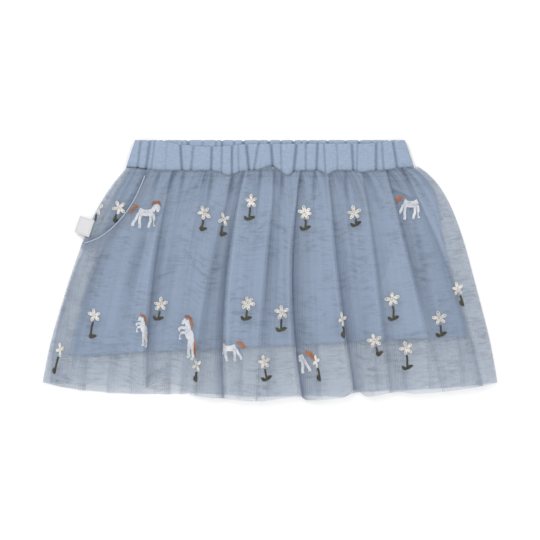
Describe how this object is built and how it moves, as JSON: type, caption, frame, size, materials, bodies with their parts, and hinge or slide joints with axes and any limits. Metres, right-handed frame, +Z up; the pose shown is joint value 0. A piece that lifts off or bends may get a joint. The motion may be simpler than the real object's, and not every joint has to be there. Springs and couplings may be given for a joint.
{
  "type": "embroidered skirt",
  "caption": "Child's net skirt over a lining, gathered into an elastic waistband, with a curved side pocket, laid flat with its front up.",
  "frame": {"origin": "middle of the ground plan, on the surface that the skirt lies on", "axes": "+X along the waist, from the wearer's right to the wearer's left, as the front faces up; +Y from the hem to the waist; +Z up, out of the front"},
  "size_m": [0.4228, 0.242, 0.0145],
  "materials": {
    "band_cloth": "light blue plain weave, matt",
    "net": "fine light blue net, sheer, soft sheen",
    "lining_cloth": "blue fine woven lining, matt",
    "label_tape": "white woven tape, bare"
  },
  "bodies": {
    "root": {"waistband_back": "band_cloth", "waistband_front": "band_cloth", "skirt_front": "net", "skirt_back": "net", "lining_front": "lining_cloth", "lining_back": "lining_cloth", "pocket_facing": "net", "pocket_binding": "net", "side_label": "label_tape"}
  },
  "joints": []
}
